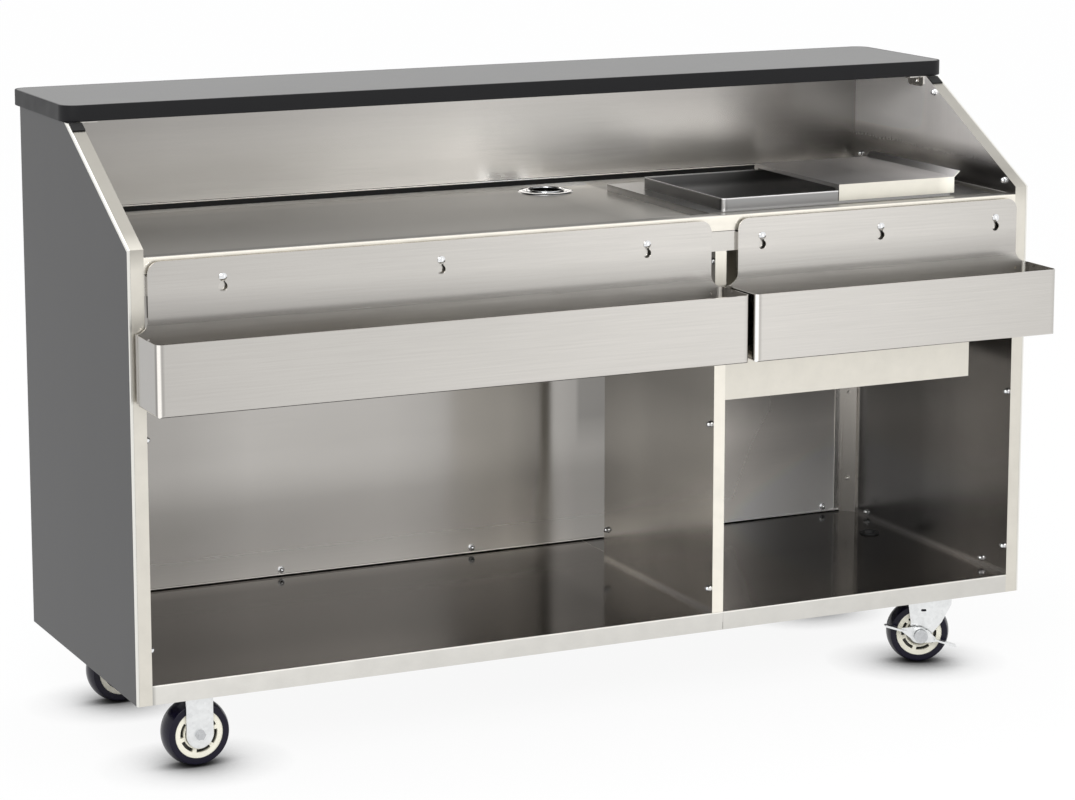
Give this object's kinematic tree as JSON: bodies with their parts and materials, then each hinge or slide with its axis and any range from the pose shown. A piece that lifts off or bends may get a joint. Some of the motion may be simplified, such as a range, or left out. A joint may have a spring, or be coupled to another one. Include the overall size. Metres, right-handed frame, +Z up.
{
  "type": "bar sink with ice bin",
  "caption": "Wheeled bartender station with a laminate bar shell, stainless tray worktop with dump drain, half-lidded ice bin, hung speed rails and open under-counter bays.",
  "frame": {"origin": "centre of the overall box at floor level, wheels resting on z = 0", "axes": "+X along the bar towards the ice bin end, +Y from the bartender to the customer side, +Z up"},
  "size_m": [1.905, 0.803, 1.194],
  "materials": {
    "laminate": "dark grey laminate on board, satin",
    "edge_band": "near-black edge band, satin",
    "stainless": "brushed stainless sheet, satin",
    "bright_trim": "polished trim",
    "chrome": "polished",
    "frame_paint": "black paint, satin",
    "zinc": "bright zinc plate",
    "black_rubber": "matte black rubber",
    "black_pad": "matte black",
    "foam": "rigid foam, matte",
    "ivory_core": "ivory moulded plastic",
    "tread": "dark navy cast tread"
  },
  "bodies": {
    "station": {"left_end_panel": "laminate", "right_end_panel": "laminate", "rear_panel": "laminate", "left_edge_trim": "bright_trim", "right_edge_trim": "bright_trim", "left_liner": "stainless", "right_liner": "stainless", "back_liner": "stainless", "back_splash": "stainless", "corner_strip": "stainless", "divider": "stainless", "left_shelf": "stainless", "right_shelf": "stainless", "base_frame": "frame_paint", "caster_bolts": "zinc", "cross_rail": "stainless", "worktop": "stainless", "bar_top": "laminate", "bar_edge": "edge_band", "left_brackets": "stainless", "right_brackets": "stainless", "top_pads": "black_pad", "drain_body": "chrome", "drain_gasket": "black_rubber", "drain_nut": "zinc", "ice_bin": "stainless", "bin_foam": "foam", "bin_casing": "stainless", "bin_drain": "chrome", "left_rail_screws": "chrome", "right_rail_screws": "chrome", "cap_nuts": "chrome", "floor_grommet": "black_rubber", "front_left_fork": "zinc", "front_left_axle": "zinc", "rear_left_fork": "zinc", "rear_left_axle": "zinc", "front_right_plate": "zinc", "rear_right_plate": "zinc"},
    "left_speed_rail": {"left_rail": "stainless"},
    "right_speed_rail": {"right_rail": "stainless"},
    "sliding_lid": {"ice_lid": "stainless"},
    "strainer": {"drain_basket": "chrome"},
    "front_left_wheel": {"front_left_core": "ivory_core", "front_left_tyre": "tread"},
    "rear_left_wheel": {"rear_left_core": "ivory_core", "rear_left_tyre": "tread"},
    "front_right_swivel": {"front_right_fork": "zinc", "front_right_axle": "zinc"},
    "front_right_wheel": {"front_right_core": "ivory_core", "front_right_tyre": "tread"},
    "front_right_brake": {"front_right_pedal": "zinc"},
    "rear_right_swivel": {"rear_right_fork": "zinc", "rear_right_axle": "zinc"},
    "rear_right_wheel": {"rear_right_core": "ivory_core", "rear_right_tyre": "tread"},
    "rear_right_brake": {"rear_right_pedal": "zinc"}
  },
  "joints": [
    {"name": "left_rail_lift", "type": "slide", "parent": "station", "child": "left_speed_rail", "axis": [0, 0, 1], "range_m": [0, 0.0174]},
    {"name": "right_rail_lift", "type": "slide", "parent": "station", "child": "right_speed_rail", "axis": [0, 0, 1], "range_m": [0, 0.0174]},
    {"name": "lid_slide", "type": "slide", "parent": "station", "child": "sliding_lid", "axis": [-1, 0, 0], "range_m": [0, 0.258]},
    {"name": "strainer_lift", "type": "slide", "parent": "station", "child": "strainer", "axis": [0, 0, 1], "range_m": [0, 0.06]},
    {"name": "front_left_spin", "type": "hinge", "parent": "station", "child": "front_left_wheel", "pos_m": [-0.8175, -0.2115, 0.0635], "axis": [0, 1, 0], "continuous": true},
    {"name": "rear_left_spin", "type": "hinge", "parent": "station", "child": "rear_left_wheel", "pos_m": [-0.8175, 0.2325, 0.0635], "axis": [0, 1, 0], "continuous": true},
    {"name": "front_right_swivel_turn", "type": "hinge", "parent": "station", "child": "front_right_swivel", "pos_m": [0.7625, -0.2115, 0.143], "axis": [0, 0, 1], "continuous": true},
    {"name": "front_right_spin", "type": "hinge", "parent": "front_right_swivel", "child": "front_right_wheel", "pos_m": [0.74231, -0.20276, 0.0635], "axis": [0.3971, 0.9178, 0], "continuous": true},
    {"name": "front_right_brake_press", "type": "hinge", "parent": "front_right_swivel", "child": "front_right_brake", "pos_m": [0.74231, -0.20276, 0.0635], "axis": [-0.3971, -0.9178, 0], "range_deg": [0, 30]},
    {"name": "rear_right_swivel_turn", "type": "hinge", "parent": "station", "child": "rear_right_swivel", "pos_m": [0.7625, 0.2325, 0.143], "axis": [0, 0, 1], "continuous": true},
    {"name": "rear_right_spin", "type": "hinge", "parent": "rear_right_swivel", "child": "rear_right_wheel", "pos_m": [0.7405, 0.2325, 0.0635], "axis": [0, 1, 0], "continuous": true},
    {"name": "rear_right_brake_press", "type": "hinge", "parent": "rear_right_swivel", "child": "rear_right_brake", "pos_m": [0.7405, 0.2325, 0.0635], "axis": [0, -1, 0], "range_deg": [0, 30]}
  ]
}
